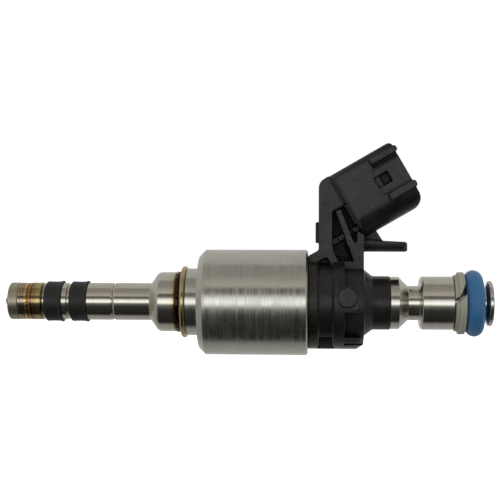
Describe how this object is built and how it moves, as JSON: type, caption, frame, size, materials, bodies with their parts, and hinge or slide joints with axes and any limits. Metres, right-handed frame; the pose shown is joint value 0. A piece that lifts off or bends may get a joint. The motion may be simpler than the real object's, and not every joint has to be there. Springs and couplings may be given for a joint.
{
  "type": "fuel injector",
  "caption": "Direct-injection fuel injector: stepped steel nozzle with sealing sleeves, solenoid can, moulded angled plug, and a fuel inlet with a clip groove and ring seal.",
  "frame": {"origin": "on the injector's axis, in the plane of the solenoid can's front shoulder, which seats in the cylinder head", "axes": "+X along the axis from the nozzle tip to the fuel inlet, +Z towards the electrical plug, +Y completes the right hand"},
  "size_m": [0.0952, 0.0206, 0.041],
  "materials": {
    "tip_steel": "matte turned steel, lightly browned",
    "nozzle_steel": "ground steel, heat tinted at the welds",
    "sleeve_steel": "turned steel",
    "collar_steel": "steel, straw coloured by heat",
    "can_steel": "fine turned steel with fine lines round it",
    "inlet_steel": "bright turned steel",
    "core_steel": "soft magnetic steel",
    "needle_steel": "polished hard steel",
    "spring_steel": "drawn spring wire",
    "seal_black": "filled sealing polymer, matte black",
    "o_ring_blue": "blue moulded elastomer",
    "backup_ring": "hard grey-beige ring",
    "black_plastic": "black glass-filled moulding",
    "bobbin_plastic": "dark moulding",
    "copper_winding": "enamelled copper wire",
    "filter_plastic": "natural moulding",
    "filter_mesh": "woven fine wire",
    "lead_bronze": "stamped bronze strip",
    "terminal_tin": "tinned strip"
  },
  "bodies": {
    "housing": {"adjusting_sleeve": "spring_steel", "coil_bobbin": "bobbin_plastic", "coil_lead_lower": "lead_bronze", "coil_lead_upper": "lead_bronze", "coil_winding": "copper_winding", "collar_ring": "collar_steel", "connector_overmould": "black_plastic", "filter_cage": "filter_plastic", "filter_mesh": "filter_mesh", "flux_washer": "core_steel", "front_combustion_seal": "seal_black", "inlet_backup_ring": "backup_ring", "inlet_o_ring": "o_ring_blue", "inlet_tube": "inlet_steel", "lower_needle_guide": "sleeve_steel", "non_magnetic_ring": "sleeve_steel", "nozzle_body": "nozzle_steel", "pole_core": "core_steel", "rear_combustion_seal": "seal_black", "return_spring": "spring_steel", "solenoid_can": "can_steel", "terminal_blade_lower": "terminal_tin", "terminal_blade_upper": "terminal_tin", "upper_needle_guide": "sleeve_steel", "valve_body": "nozzle_steel", "valve_seat": "tip_steel", "valve_sleeve": "sleeve_steel"},
    "needle": {"valve_needle": "needle_steel", "needle_ball": "needle_steel", "needle_lower_collar": "needle_steel", "needle_upper_collar": "needle_steel", "armature_spring": "spring_steel"},
    "armature": {"armature": "core_steel"}
  },
  "joints": [
    {"name": "needle_lift", "type": "slide", "parent": "housing", "child": "needle", "axis": [1, 0, 0], "range_m": [0, 0.00008], "stiffness_N_per_m": 8000, "deforming": ["return_spring"]},
    {"name": "armature_travel", "type": "slide", "parent": "needle", "child": "armature", "axis": [1, 0, 0], "range_m": [0, 0.00004], "stiffness_N_per_m": 8000, "deforming": ["armature_spring"]}
  ]
}
